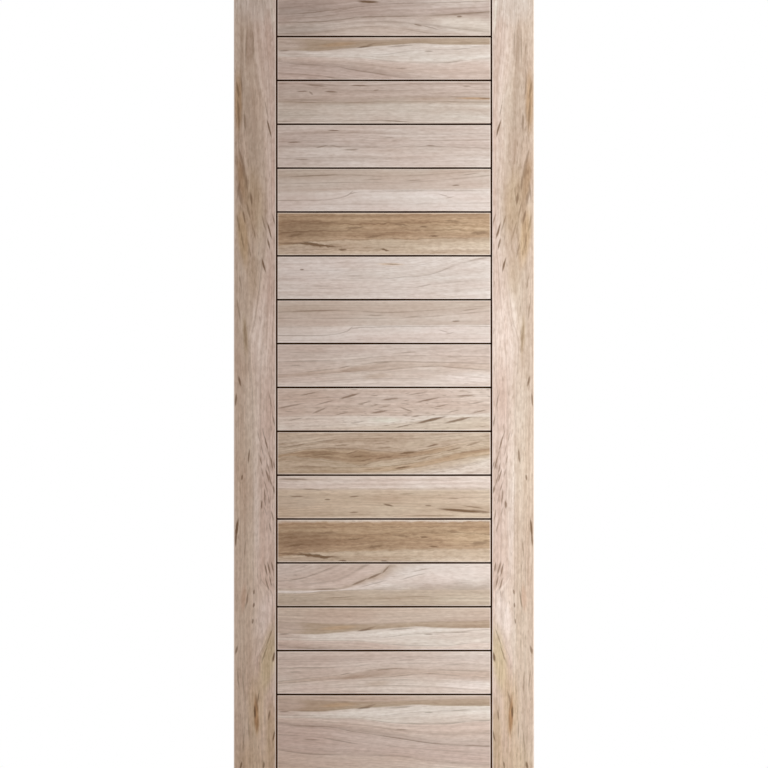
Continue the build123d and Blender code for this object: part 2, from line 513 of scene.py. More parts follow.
    # A painted highlight: the margin of the faces is painted paler, where the eased edges would catch the
    # light
    paintedHighlight = addNode(tree, "Math", {0: endGap, 1: edgeGap}, operation="MINIMUM")
    near, far = sandedMaple["highlightReach"]
    paintedHighlight = {"Value": paintedHighlight, "From Min": far, "From Max": near, "To Max": place["highlightShare"]}
    paintedHighlight = addNode(tree, "MapRange", paintedHighlight)
    near, far = sandedMaple["faceReach"]
    nearFace = addNode(tree, "MapRange", {"Value": faceGap, "From Min": far, "From Max": near})
    paintedHighlight = addNode(tree, "Math", {0: paintedHighlight, 1: nearFace}, operation="MULTIPLY")
    highlighted = {0: paintedHighlight, 6: colour, 7: linearColour(sandedMaple["edgeHighlightColour"])}
    colour = addNode(tree, "Mix", highlighted, data_type="RGBA")

    # Painted shade in the reveals and the kerfs: the boards' sides are darkened towards brown below their
    # faces, where shade falls
    paintedShade = {"Value": faceGap, "From Min": 0.0, "From Max": sandedMaple["shadeReach"]}
    paintedShade = addNode(tree, "MapRange", {**paintedShade, "To Max": sandedMaple["shadeShare"]})
    shadeEnd = place["shadeFrom"] + place["shadeWay"]
    innerSide = addNode(tree, "MapRange", {"Value": high, "From Min": place["shadeFrom"], "From Max": shadeEnd})
    paintedShade = addNode(tree, "Math", {0: paintedShade, 1: innerSide}, operation="MULTIPLY")
    unshaded = addNode(tree, "Math", {0: atEnd, 1: -place["unshadedEnds"], 2: 1.0}, operation="MULTIPLY_ADD")
    paintedShade = addNode(tree, "Math", {0: paintedShade, 1: unshaded}, operation="MULTIPLY")
    shaded = {0: paintedShade, 6: colour, 7: linearColour(sandedMaple["recessShadeColour"])}
    colour = addNode(tree, "Mix", shaded, data_type="RGBA")

    # End grain is darker and full of pores
    low, top = sandedMaple["poreRange"]
    pore = {"Value": pattern["pore"], "From Min": low, "From Max": top, "To Min": sandedMaple["poreShare"]}
    pore = addNode(tree, "MapRange", pore)
    pore = addNode(tree, "Math", {0: pore, 1: atEnd}, operation="MULTIPLY")
    ended = {0: pore, 6: colour, 7: linearColour(sandedMaple["endColour"])}
    colour = addNode(tree, "Mix", ended, data_type="RGBA", blend_type="MULTIPLY")
    lifted = {0: 1.0, 6: colour, 7: boardLift(figure)}
    colour = addNode(tree, "Mix", lifted, data_type="RGBA", blend_type="MULTIPLY")

    # The finish
    dull, matt = sandedMaple["roughness"]
    low, top = sandedMaple["finishRange"]
    roughness = {"From Min": low, "From Max": top, "To Min": dull, "To Max": matt}
    roughness = addNode(tree, "MapRange", {"Value": pattern["fibre"], **roughness})
    bump = {"Distance": sandedMaple["bumpDepth"], "Strength": sandedMaple["bumpStrength"]}
    bump = addNode(tree, "Bump", {"Height": pattern["fibre"], **bump})
    finish = {"Base Color": colour, "Roughness": roughness, "Normal": bump}
    finish |= {"IOR": sandedMaple["ior"], "Specular IOR Level": sandedMaple["gloss"]}
    shader = addNode(tree, "BsdfPrincipled", finish)
    addNode(tree, "OutputMaterial", {"Surface": shader})
    return wood


# The figures of the boards, in millimetres along the board and up from its low edge. A stile's figure runs
# down from the door's top, and in from its outer edge. A line is (layer, how dark it is drawn, half its
# width in layers, its points). A tone is (layer, colour). A patch is (along, up, length, width, tilt in
# degrees, colour, share). A mark is (along, up, length, width, tilt, how dark it is), and a zone is (along,
# up, length, width, tilt, how full of flecks it is). A ripple, curl or sway here takes the place of
# sandedMaple's, growth, fibre, mottle and fleck multiply its shares, and fleckTilt is in degrees.
wedgeFigure = {
    "lines": [
        (-150, 0.0, 3, [(0, -100), (200, -120), (400, -130), (660, -150)]),
        (-112, 0.29, 3, [(0, -66), (200, -86), (400, -94), (660, -116)]),
        (-50, 0.45, 2.5, [(0, -27), (103, -41), (298, -44), (385, -47), (472, -60), (660, -73)]),
        (-12, 0.35, 2.5, [(0, 20), (120, 12), (250, -2), (385, -20), (520, -30), (660, -42)]),
        (20, 0.67, 2.2, [(0, 57), (81, 46), (168, 43), (233, 30), (298, 20), (385, 6), (472, -8),
            (660, -18)]),
        (40, 0.26, 3, [(0, 64), (168, 56), (255, 50), (342, 38), (429, 26), (516, 20), (660, 24)]),
        (60, 0.54, 1.6, [(0, 72), (159, 70), (255, 69), (342, 58), (429, 53), (516, 52), (581, 60),
            (660, 64)]),
        (78, 0.42, 1.4, [(0, 79), (200, 76), (298, 76), (407, 87), (464, 91), (538, 93), (603, 100),
            (660, 103)]),
        (92, 0.0, 3, [(0, 93), (120, 89), (190, 94), (255, 100), (320, 104), (385, 108), (430, 111),
            (500, 107), (660, 106)]),
        (120, 0.19, 3, [(0, 125), (300, 118), (400, 122), (660, 127)]),
        (165, 0.0, 3, [(0, 170), (300, 164), (660, 168)]),
    ],
    "tones": [
        (-160, "#dccabb"), (-60, "#ddccc0"), (-50, "#cdbaae"), (-40, "#d8c6bc"), (14, "#d4c2b8"),
        (22, "#cab8ad"), (40, "#dccabe"), (56, "#e0d0c5"), (62, "#e6dcd2"), (84, "#e9dfd6"),
        (90, "#e7dcd2"), (93, "#bba792"), (106, "#bea994"), (118, "#c2ae9a"), (124, "#d0bdae"),
        (175, "#d6c4b4"),
    ],
    "patches": [
        (190, 108, 150, 18, 4, "#c9ab8a", 0.6), (600, 112, 180, 12, 2, "#ab9580", 0.5),
        (30, 108, 170, 60, 0, "#d2c0b4", 0.8), (40, 82, 170, 20, -4, "#d5c4b9", 0.7),
    ],
    "marks": [
        (270, 101, 50, 5, 8, 0.72), (290, 108, 36, 3, 12, 0.43), (380, 103, 90, 4, 4, 0.43),
        (25, 89, 36, 4, 3, 0.51), (195, 0, 120, 4, -10, 0.43), (110, 3, 50, 4, 0, 0.43),
        (465, 87, 30, 3, 0, 0.51), (560, 93, 70, 3, 3, 0.43), (380, 35, 40, 4, 0, 0.43),
        (100, 45, 120, 4, -3, 0.43),
    ],
    "ripple": 2.2,
    "curl": 1.0,
    "fleck": 0.3,
}
doubleLineFigure = {
    "lines": [
        (-20, 0.0, 3, [(0, -22), (660, -26)]),
        (8, 0.8, 1.6, [(0, 7.5), (124, 7.5), (255, 10), (342, 9), (407, 4), (660, 2)]),
        (30, 0.16, 2, [(0, 24), (255, 26), (660, 20)]),
        (66, 0.54, 2.0, [(0, 69), (103, 65), (255, 65), (342, 67), (660, 63)]),
        (80, 0.42, 2.0, [(0, 72), (200, 71), (298, 75), (385, 80), (516, 80), (660, 82)]),
        (104, 0.29, 2, [(0, 100), (100, 108), (250, 100), (660, 104)]),
        (122, 0.51, 1.6, [(0, 121), (120, 119), (200, 115), (280, 115), (400, 120), (660, 121)]),
        (150, 0.0, 3, [(0, 150), (660, 152)]),
    ],
    "tones": [
        (-20, "#d9cdc1"), (4, "#dcd0c5"), (58, "#d8ccc0"), (64, "#c9b9aa"), (70, "#c9b8aa"),
        (78, "#cbbaad"), (84, "#cfbeb2"), (118, "#d0bfb4"), (150, "#d2c1b6"),
    ],
    "patches": [
        (610, 75, 170, 11, -1, "#bf9c7a", 0.75), (480, 74, 200, 10, 0, "#c2ab98", 0.35),
        (90, 70, 200, 6, 0, "#b3a294", 0.5), (560, 110, 260, 34, 0, "#dccbc0", 0.6),
        (60, 30, 260, 50, 0, "#cfc3b6", 0.6),
    ],
    "marks": [
        (81, 97, 38, 4, 2, 0.62), (107, 92, 18, 5, -40, 0.45), (168, 96, 42, 4.5, -2, 0.7),
        (255, 115, 62, 4, -2, 0.72), (305, 101, 20, 4, 8, 0.5), (124, 115, 70, 5, -4, 0.58),
        (581, 113, 26, 4, 0, 0.43), (640, 76, 50, 3, 0, 0.72), (360, 9, 90, 3, -4, 0.58),
    ],
    "ripple": 2.2,
    "fleck": 0.3,
}
quietFigure = {
    "lines": [
        (-20, 0.0, 3, [(0, -20), (660, -22)]),
        (30, 0.22, 2.5, [(0, 28), (200, 30), (420, 26), (660, 32)]),
        (63, 0.51, 2.2, [(0, 62), (140, 64), (330, 60), (472, 64), (660, 58)]),
        (82, 0.35, 2.2, [(0, 78), (120, 83), (230, 84), (330, 80), (660, 84)]),
        (104, 0.29, 2.2, [(0, 100), (200, 106), (440, 100), (660, 104)]),
        (150, 0.0, 3, [(0, 150), (660, 150)]),
    ],
    "tones": [
        (-20, "#dfd1c8"), (20, "#dfd2c9"), (55, "#dccec4"), (64, "#d3c4ba"), (75, "#d8c8be"),
        (108, "#d8c9bf"), (150, "#dccdc3"),
    ],
    "patches": [(90, 85, 240, 60, 2, "#cebeb4", 0.6), (90, 15, 200, 16, 6, "#d0c0b6", 0.5)],
    "marks": [
        (177, 113, 38, 3.5, -1, 0.8), (55, 76, 44, 4, 4, 0.65), (140, 63, 40, 4, 12, 0.58),
        (182, 64, 40, 4, -10, 0.45), (230, 54, 50, 4, 3, 0.51), (472, 65, 32, 3.5, 0, 0.58),
        (360, 80, 24, 3, 0, 0.43), (340, 90, 40, 3, 4, 0.43), (80, 24, 50, 4, -4, 0.43),
    ],
    "ripple": 4.5,
    "growth": 1.2,
    "fleck": 0.4,
}
paleFanFigure = {
    "lines": [
        (-20, 0.0, 3, [(0, -20), (660, -18)]),
        (20, 0.22, 2, [(0, 19), (170, 20), (400, 22), (660, 24)]),
        (45, 0.6, 2, [(0, 32), (124, 32), (177, 37), (211, 45), (229, 54), (270, 60), (400, 62),
            (660, 63)]),
        (63, 0.38, 1.6, [(0, 58), (110, 60), (250, 64), (450, 65), (660, 67)]),
        (88, 0.48, 1.8, [(0, 84), (212, 86), (385, 87), (520, 96), (660, 110)]),
        (106, 0.45, 1.8, [(0, 102), (100, 108), (212, 110), (340, 104), (429, 108), (603, 121),
            (660, 124)]),
        (124, 0.26, 2, [(0, 122), (200, 124), (430, 124), (660, 132)]),
        (160, 0.0, 3, [(0, 160), (660, 164)]),
    ],
    "tones": [
        (-20, "#e6dad3"), (12, "#e5d9d1"), (56, "#e7dcd4"), (62, "#e2d6cc"), (66, "#d4c4b8"),
        (86, "#d6c7bb"), (100, "#d2c2b5"), (108, "#cdbcae"), (122, "#d3c3b5"), (160, "#d6c6b9"),
    ],
    "patches": [
        (80, 112, 240, 32, 0, "#c9b8a8", 0.55), (500, 50, 320, 26, 0, "#efe5df", 0.7),
        (60, 45, 180, 50, 0, "#ded0c6", 0.5), (560, 90, 240, 26, 6, "#dbccc1", 0.5),
    ],
    "marks": [
        (120, 108, 190, 4, 2, 0.51), (511, 47, 34, 3, -14, 0.36), (530, 41, 26, 3, 10, 0.36),
        (548, 78, 26, 4, 2, 0.65), (300, 96, 60, 3, 0, 0.36), (225, 53, 28, 3, 42, 0.36),
        (420, 92, 60, 3, 4, 0.43), (590, 112, 60, 3, 8, 0.43),
    ],
    "ripple": 2.0,
    "growth": 0.75,
    "fibre": 0.6,
    "fleck": 0.2,
}
heartFigure = {
    "lines": [
        (-20, 0.0, 3, [(0, -16), (660, -14)]),
        (20, 0.19, 2, [(0, 12), (300, 20), (660, 24)]),
        (45, 0.32, 2, [(0, 28), (120, 42), (168, 45), (255, 47), (385, 50), (559, 52), (660, 53)]),
        (72, 0.54, 3, [(0, 66), (120, 74), (260, 72), (420, 76), (660, 74)]),
        (96, 0.54, 3, [(0, 92), (160, 98), (300, 96), (460, 100), (660, 98)]),
        (118, 0.42, 3, [(0, 116), (260, 119), (460, 118), (660, 120)]),
        (150, 0.0, 3, [(0, 148), (660, 150)]),
    ],
    "tones": [
        (-20, "#d4c1ac"), (20, "#d2bfa9"), (41, "#cfbba4"), (47, "#bea388"), (70, "#b99d81"),
        (84, "#bea386"), (96, "#b69a7d"), (110, "#c0a588"), (122, "#bb9f82"), (131, "#c3a88c"),
        (136, "#dccdbd"), (150, "#dccdbd"),
    ],
    "patches": [
        (80, 80, 280, 90, 0, "#a0856b", 0.78), (590, 90, 280, 70, 0, "#cfb698", 0.75),
        (70, 14, 240, 34, 0, "#c8b5a3", 0.6), (560, 16, 300, 30, 0, "#dac8b4", 0.6),
        (330, 62, 300, 16, 4, "#a98d71", 0.45),
    ],
    "marks": [
        (120, 31, 165, 7.5, -5, 0.93), (50, 36, 110, 6, -2, 0.6), (203, 16, 28, 5, -4, 0.87),
        (333, 14, 30, 5, -10, 0.87), (481, 58, 34, 6, -2, 0.8), (451, 87, 26, 5, 0, 0.72),
        (620, 69, 60, 10, 4, 0.58), (240, 84, 70, 5, 6, 0.58), (380, 92, 60, 5, -6, 0.58),
        (150, 100, 80, 5, 4, 0.51), (540, 104, 60, 5, -4, 0.51), (300, 58, 60, 6, 8, 0.58),
        (60, 62, 60, 6, 10, 0.58),
    ],
    "zones": [(380, 84, 560, 70, 4, 0.5)],
    "ripple": 9.0,
    "curl": 10.0,
    "growth": 1.7,
    "fibre": 0.9,
    "mottle": 1.8,
    "fleck": 0.8,
    "fleckTilt": 4,
}
plainPaleFigure = {
    "lines": [
        (-20, 0.0, 3, [(0, -20), (660, -8)]),
        (20, 0.16, 2, [(0, 12), (300, 14), (446, 20), (660, 34)]),
        (40, 0.29, 1.8, [(0, 32), (300, 34), (446, 37), (481, 45), (559, 52), (660, 57)]),
        (64, 0.42, 1.8, [(0, 61), (168, 62), (320, 61), (385, 67), (451, 71), (485, 80), (559, 108),
            (660, 132)]),
        (88, 0.22, 2, [(0, 86), (240, 88), (400, 98), (500, 118), (660, 156)]),
        (110, 0.19, 2, [(0, 108), (300, 112), (430, 124), (660, 176)]),
        (150, 0.0, 3, [(0, 150), (660, 216)]),
    ],
    "tones": [
        (-20, "#e4d9d1"), (36, "#e6dbd3"), (62, "#e5dad2"), (66, "#e0d4cb"), (90, "#e7dcd4"),
        (150, "#e8ddd6"),
    ],
    "patches": [
        (110, 84, 320, 90, 0, "#ece2dc", 0.75), (350, 106, 110, 10, -1, "#e0c5a8", 0.6),
        (570, 66, 280, 100, 8, "#dbcfc6", 0.7),
    ],
    "marks": [
        (355, 106, 52, 3, -2, 0.58), (79, 89, 14, 4, 0, 0.72), (240, 70, 50, 3, 0, 0.29),
        (450, 40, 60, 3, 12, 0.36), (140, 40, 60, 3, 2, 0.29),
    ],
    "ripple": 2.6,
    "growth": 0.8,
    "fleck": 0.3,
}
lensFigure = {
    "lines": [
        (-20, 0.0, 3, [(0, -24), (660, -20)]),
        (12, 0.26, 2, [(0, 6), (200, 20), (340, 26), (480, 22), (660, 10)]),
        (34, 0.32, 2, [(0, 22), (120, 30), (250, 42), (380, 44), (520, 42), (660, 30)]),
        (50, 0.54, 1.8, [(0, 30), (200, 44), (355, 52), (385, 56), (472, 63), (559, 56), (660, 49)]),
        (70, 0.51, 1.8, [(0, 36), (81, 44), (168, 54), (255, 66), (298, 74), (364, 78), (429, 75),
            (560, 72), (660, 68)]),
        (92, 0.32, 2, [(0, 76), (190, 80), (330, 92), (460, 94), (660, 90)]),
        (112, 0.29, 2, [(0, 104), (200, 106), (420, 114), (660, 112)]),
        (150, 0.0, 3, [(0, 146), (660, 152)]),
    ],
    "tones": [
        (-20, "#e4d6cc"), (30, "#dfd1c6"), (48, "#d9c9bd"), (52, "#d4c2b4"), (68, "#d5c4b7"),
        (73, "#dccdc2"), (110, "#dbccc2"), (150, "#dccdc3"),
    ],
    "patches": [
        (280, 58, 230, 24, 8, "#b8a08e", 0.9), (310, 32, 120, 24, 6, "#c6b19e", 0.5),
        (330, 66, 280, 70, 5, "#cdbbae", 0.45), (590, 26, 240, 50, 0, "#efe5de", 0.85),
        (80, 18, 200, 34, 4, "#e4d6cd", 0.6), (80, 100, 240, 40, 0, "#d6c6bb", 0.5),
    ],
    "marks": [
        (100, 79, 180, 3, 1, 0.43), (60, 66, 40, 3, 2, 0.43), (470, 62, 50, 3, 0, 0.43),
        (400, 104, 60, 3, 3, 0.36), (540, 90, 50, 3, -2, 0.36), (330, 74, 50, 3, 6, 0.43),
        (210, 60, 40, 3, 12, 0.51),
    ],
    "ripple": 3.0,
    "fleck": 0.4,
}
fleckedFigure = {
    "lines": [
        (-30, 0.0, 3, [(0, -32), (168, -22), (300, -16), (660, 6)]),
        (0, 0.19, 2, [(0, -6), (168, 4), (298, 10), (385, 20), (516, 37), (660, 42)]),
        (47, 0.32, 2, [(0, 45), (298, 45), (430, 45), (560, 49), (660, 53)]),
        (72, 0.22, 2.5, [(0, 64), (200, 72), (420, 70), (660, 78)]),
        (100, 0.26, 2.5, [(0, 92), (200, 100), (440, 98), (660, 106)]),
        (150, 0.0, 3, [(0, 142), (300, 148), (660, 154)]),
    ],
    "tones": [
        (-30, "#dccdbd"), (-8, "#d8c8b7"), (2, "#dccdbe"), (10, "#e6dace"), (42, "#e6dacf"),
        (48, "#dbcabd"), (74, "#dac8bb"), (100, "#dbc9bd"), (150, "#d9c7ba"),
    ],
    "patches": [
        (334, 32, 130, 24, 0, "#e6e0d2", 0.8), (80, 105, 260, 60, 4, "#d3bfb0", 0.6),
        (600, 100, 220, 60, 4, "#e2d3c7", 0.6), (560, 10, 300, 36, 6, "#d5c5b2", 0.7),
        (80, 20, 220, 40, 4, "#e2d4c9", 0.5),
    ],
    "marks": [
        (224, 104, 66, 6, 17, 0.75), (472, 32, 100, 7, 13, 0.85), (555, 32, 95, 6.5, 13, 0.75),
        (316, 56, 56, 5.5, 8, 0.65), (464, 93, 78, 5, 12, 0.65), (351, 95, 56, 5, 5, 0.6),
        (577, 106, 56, 5.5, 3, 0.58), (133, 60, 50, 5.5, 25, 0.55), (42, 74, 90, 5, 10, 0.55),
        (425, 43, 30, 4, 10, 0.58), (398, 63, 48, 4, -20, 0.51), (150, 84, 60, 4, 14, 0.51),
        (270, 84, 50, 3.5, 14, 0.51), (100, 112, 60, 4, 12, 0.51), (500, 74, 56, 3.5, 12, 0.51),
        (610, 84, 50, 3.5, 10, 0.51), (200, 50, 46, 3.5, 12, 0.51), (60, 34, 50, 3.5, 10, 0.43),
        (250, 24, 46, 3.5, 10, 0.43), (620, 58, 60, 3.5, 12, 0.51), (390, 14, 60, 3.5, 12, 0.58),
        (430, 112, 60, 3.5, 8, 0.51), (330, 72, 40, 3.5, 12, 0.43), (540, 58, 40, 3.5, 12, 0.43),
    ],
    "zones": [(160, 84, 420, 90, 6, 0.4), (420, 80, 420, 90, 6, 0.35)],
    "ripple": 3.5,
    "curl": 3.0,
    "fibre": 0.9,
    "mottle": 1.2,
    "fleck": 1.0,
    "fleckTilt": 12,
}
eyesFigure = {
    "lines": [
        (-30, 0.0, 3, [(0, -40), (300, -38), (429, -28), (660, 14)]),
        (0, 0.26, 2, [(0, -8), (300, -5), (429, 4), (560, 26), (660, 50)]),
        (12, 0.42, 2, [(0, 6), (250, 7), (364, 14), (472, 31), (559, 47), (660, 62)]),
        (28, 0.6, 2, [(0, 20), (203, 21), (364, 28), (472, 46), (559, 64), (660, 80)]),
        (45, 0.48, 2, [(0, 48), (38, 56), (94, 49), (142, 45), (203, 36), (255, 27), (307, 40), (380, 50),
            (472, 62), (559, 78), (660, 94)]),
        (52, 0.32, 2, [(0, 51), (38, 58), (94, 53), (142, 50), (185, 50), (215, 44), (255, 40), (300, 48),
            (380, 54), (472, 66), (559, 82), (660, 98)]),
        (62, 0.32, 2, [(0, 55), (38, 61), (94, 69), (142, 71), (185, 66), (215, 64), (255, 68), (300, 62),
            (380, 60), (472, 72), (559, 88), (660, 104)]),
        (72, 0.48, 2, [(0, 59), (38, 65), (94, 76), (142, 79), (203, 77), (255, 77), (307, 70), (380, 68),
            (472, 78), (559, 96), (660, 112)]),
        (95, 0.42, 2, [(0, 80), (100, 95), (190, 107), (300, 109), (385, 108), (500, 112), (660, 130)]),
        (130, 0.0, 3, [(0, 116), (190, 132), (660, 160)]),
    ],
    "tones": [
        (-30, "#e2d5c9"), (-4, "#dfd1c4"), (4, "#d6c5b3"), (11, "#cfbba5"), (14, "#c6ad92"),
        (26, "#c8b096"), (31, "#ccb9a3"), (44, "#c9b59e"), (50, "#bfa68c"), (57, "#b79d82"),
        (66, "#bfa78d"), (74, "#ccb9a5"), (95, "#cab7a3"), (130, "#cfbda9"),
    ],
    "patches": [
        (140, 60, 140, 26, 3, "#a58b70", 0.8), (255, 54, 100, 42, 4, "#a98f74", 0.8),
        (60, 16, 240, 26, 0, "#cab8a3", 0.7), (200, 16, 200, 20, 0, "#c9b69f", 0.7),
        (560, 112, 300, 44, 4, "#cfbeaa", 0.75), (610, 96, 260, 34, 10, "#d0bfab", 0.75),
        (560, 58, 260, 22, 12, "#bb9e81", 0.6), (430, 92, 120, 16, 4, "#d0bea9", 0.6),
        (60, 108, 200, 30, 8, "#c8b6a4", 0.6),
    ],
    "marks": [
        (403, 65, 64, 5, 6, 0.87), (385, 22, 54, 5, 7, 0.87), (477, 87, 40, 5, 15, 0.8),
        (140, 60, 70, 5, 4, 0.58), (252, 54, 40, 5, 6, 0.65), (150, 52, 60, 4, 0, 0.51),
        (232, 66, 44, 4, 16, 0.58), (275, 44, 40, 4, 10, 0.58), (60, 88, 90, 4, 10, 0.51),
        (150, 102, 90, 4, 7, 0.51), (330, 52, 60, 4, 8, 0.58), (330, 80, 60, 4, 4, 0.43),
        (540, 76, 60, 4, 14, 0.58), (600, 92, 50, 4, 14, 0.51), (450, 50, 60, 4, 14, 0.51),
        (300, 18, 60, 4, 2, 0.43), (100, 24, 80, 4, 0, 0.43), (200, 88, 60, 4, 4, 0.51),
    ],
    "zones": [(260, 70, 420, 80, 4, 0.35)],
    "ripple": 6.0,
    "curl": 5.0,
    "growth": 1.8,
    "mottle": 1.6,
    "fleck": 0.8,
    "fleckTilt": 8,
}
tanFigure = {
    "lines": [
        (-20, 0.0, 3, [(0, -20), (660, -20)]),
        (8, 0.26, 1.8, [(0, 8), (380, 9), (560, 7), (660, 8)]),
        (38, 0.22, 2.2, [(0, 34), (230, 42), (340, 38), (470, 36), (660, 34)]),
        (66, 0.22, 2.2, [(0, 64), (240, 66), (470, 62), (660, 64)]),
        (90, 0.22, 2, [(0, 91), (298, 89), (660, 89)]),
        (112, 0.19, 2, [(0, 112), (660, 114)]),
        (150, 0.0, 3, [(0, 150), (660, 150)]),
    ],
    "tones": [
        (-20, "#d3c0aa"), (60, "#d2beA8"), (84, "#d4c1ac"), (93, "#e4d5ca"), (112, "#e8dad0"),
        (150, "#e9dcd2"),
    ],
    "patches": [
        (80, 118, 240, 22, 0, "#d8c7b9", 0.6), (590, 60, 240, 60, 0, "#dac8b5", 0.6),
        (60, 50, 200, 60, 0, "#cbb8a6", 0.5), (450, 105, 300, 26, 0, "#ecdfd6", 0.5),
    ],
    "marks": [
        (57, 120, 100, 5, 0, 0.58), (64, 66, 44, 4, 2, 0.58), (157, 56, 20, 4, 0, 0.72),
        (238, 65, 32, 4, 4, 0.65), (342, 39, 34, 5, -12, 0.8), (464, 38, 22, 4, 0, 0.65),
        (566, 23, 165, 8, -5, 0.95), (618, 20, 90, 8, -5, 0.7), (472, 7.5, 180, 3, 0, 0.58),
        (238, 17, 30, 4, 4, 0.58), (540, 60, 40, 4, 0, 0.43), (110, 88, 80, 4, -2, 0.43),
        (400, 74, 50, 3, 2, 0.43), (600, 34, 70, 4, -8, 0.58),
    ],
    "ripple": 2.6,
    "growth": 1.2,
    "fleck": 0.5,
}
archFigure = {
    "lines": [
        (-20, 0.0, 3, [(0, -26), (150, -22), (660, -18)]),
        (20, 0.19, 2, [(0, 12), (100, 16), (200, 22), (440, 24), (660, 22)]),
        (50, 0.35, 1.8, [(0, 38), (100, 40), (150, 47), (429, 51), (660, 50)]),
        (58, 0.3, 1.8, [(0, 50), (150, 51), (203, 55), (233, 65), (277, 84), (320, 102), (338, 117),
            (358, 134), (440, 190), (660, 240)]),
        (70, 0.35, 2, [(0, 62), (80, 66), (150, 74), (210, 90), (250, 112), (290, 136), (400, 200),
            (660, 260)]),
        (82, 0.48, 2, [(0, 76), (60, 81), (110, 96), (160, 115), (200, 132), (300, 180), (660, 290)]),
        (104, 0.29, 2, [(0, 98), (60, 106), (120, 124), (200, 160), (660, 330)]),
        (130, 0.0, 3, [(0, 124), (100, 148), (660, 380)]),
    ],
    "tones": [
        (-20, "#c9b9a6"), (20, "#cab9a6"), (44, "#cdbcaa"), (49, "#d2c2b2"), (51, "#e6dad1"),
        (54, "#e5d9d1"), (57, "#d8c7b8"), (62, "#dac9be"), (84, "#d9c9be"), (130, "#dccec5"),
    ],
    "patches": [
        (500, 84, 360, 60, 4, "#ece1da", 0.55), (80, 14, 240, 44, 0, "#c2b2a1", 0.7),
        (600, 24, 260, 30, 0, "#d2c2b0", 0.7), (400, 70, 200, 40, 20, "#e0d2c8", 0.4),
    ],
    "marks": [
        (255, 75, 60, 6, 24, 0.65), (300, 93, 60, 6, 24, 0.72), (334, 112, 36, 5, 46, 0.65),
        (70, 84, 60, 4, 10, 0.43), (150, 52, 90, 4, 2, 0.58), (300, 70, 90, 3, 14, 0.36),
        (420, 92, 90, 3, 14, 0.36), (560, 70, 80, 3, 4, 0.32), (440, 110, 60, 3, 10, 0.32),
        (200, 28, 100, 3, 4, 0.43), (430, 30, 120, 3, 0, 0.36),
    ],
    "ripple": 2.6,
    "fleck": 0.6,
}
topFigure = {
    "lines": [
        (-20, 0.0, 3, [(0, -36), (212, -20), (385, -22), (660, -60)]),
        (25, 0.42, 2.2, [(0, 4), (120, 10), (212, 21), (298, 29), (385, 21), (472, 8), (660, -16)]),
        (42, 0.32, 2.2, [(0, 22), (120, 28), (212, 38), (310, 44), (420, 38), (540, 24), (660, 10)]),
        (55, 0.7, 2.0, [(0, 39), (64, 42), (146, 44), (190, 48), (255, 57), (385, 60), (516, 65),
            (660, 76)]),
        (70, 0.35, 2.2, [(0, 52), (100, 56), (200, 66), (320, 76), (500, 82), (660, 90)]),
        (85, 0.54, 2.0, [(0, 66), (100, 70), (168, 78), (320, 94), (480, 100), (660, 106)]),
        (102, 0.32, 2.2, [(0, 84), (168, 98), (320, 110), (660, 122)]),
        (150, 0.0, 3, [(0, 140), (660, 168)]),
    ],
    "tones": [
        (-20, "#dccdc1"), (22, "#d8c9bd"), (40, "#d4c5ba"), (52, "#d0c0b5"), (56, "#c6b6ab"),
        (62, "#cfbeb4"), (84, "#cbbab0"), (104, "#cdbcb2"), (150, "#cfbfb5"),
    ],
    "patches": [
        (590, 34, 320, 70, -8, "#e6dbcf", 0.95), (70, 16, 260, 56, 4, "#bfb1a6", 0.8),
        (80, 84, 280, 80, 6, "#bbaba1", 0.8), (570, 106, 300, 56, 4, "#dfd1c7", 0.8),
    ],
    "marks": [
        (281, 103, 70, 7, -2, 0.95), (262, 106, 40, 4, 2, 0.58), (559, 60, 18, 5, 0, 0.72),
        (433, 34, 30, 4, -12, 0.65), (100, 42, 90, 4, 2, 0.43), (300, 58, 120, 4, 2, 0.51),
        (560, 68, 110, 4, 5, 0.51), (220, 82, 80, 3, 12, 0.36), (470, 26, 60, 3, -14, 0.43),
    ],
    "ripple": 3.2,
    "fleck": 0.3,
}
